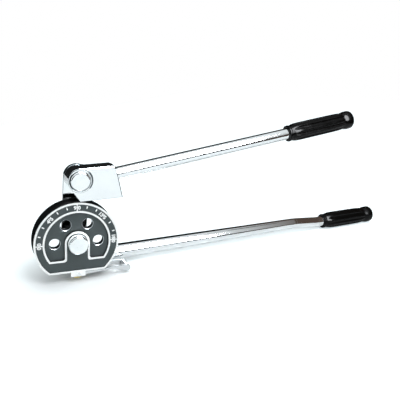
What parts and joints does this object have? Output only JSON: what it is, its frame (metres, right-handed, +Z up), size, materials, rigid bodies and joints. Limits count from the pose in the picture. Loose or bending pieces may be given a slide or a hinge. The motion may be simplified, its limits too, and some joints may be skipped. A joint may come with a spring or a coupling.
{
  "type": "pipe bender",
  "caption": "Hand lever pipe bender: grooved form wheel with an angle dial, two gripped handles, a swinging link with a forming shoe, and a tube latch.",
  "frame": {"origin": "the form wheel's axis, at the middle of its tube groove", "axes": "+X along the lower handle towards its grip, +Y along the wheel's axis from the dial to the back, +Z up as the tool lies in the picture"},
  "size_m": [0.4279, 0.0465, 0.1512],
  "materials": {
    "painted_casting": "satin",
    "chrome": "polished",
    "bare_steel": "satin",
    "zinc_steel": "satin",
    "brass": "satin",
    "grip_plastic": "gloss"
  },
  "bodies": {
    "base": {"form_wheel": "painted_casting", "hub_pin": "chrome", "hub_washer": "zinc_steel", "hub_nut": "zinc_steel", "handle_socket": "painted_casting", "socket_screws": "zinc_steel", "socket_pin": "zinc_steel", "lower_rod": "chrome", "lower_grip": "grip_plastic", "latch_pin": "zinc_steel", "latch_roller": "brass", "latch_clip": "zinc_steel"},
    "link": {"link_arm": "chrome", "pivot_pin": "chrome", "pivot_washer": "zinc_steel", "pivot_nut": "zinc_steel"},
    "upper_handle": {"yoke": "chrome", "pivot_bush": "brass", "forming_shoe": "bare_steel", "shoe_pins": "bare_steel", "upper_rod": "chrome", "upper_grip": "grip_plastic"},
    "latch": {"latch_hook": "chrome"}
  },
  "joints": [
    {"name": "link_swing", "type": "hinge", "parent": "base", "child": "link", "pos_m": [0, 0, 0], "axis": [0, -1, 0], "range_deg": [-73, 100]},
    {"name": "handle_lift", "type": "hinge", "parent": "link", "child": "upper_handle", "pos_m": [0.00572, 0, 0.06053], "axis": [0, -1, 0], "range_deg": [0, 120]},
    {"name": "latch_swing", "type": "hinge", "parent": "base", "child": "latch", "pos_m": [-0.00057, 0, -0.03221], "axis": [0, 1, 0], "range_deg": [0, 180]}
  ]
}
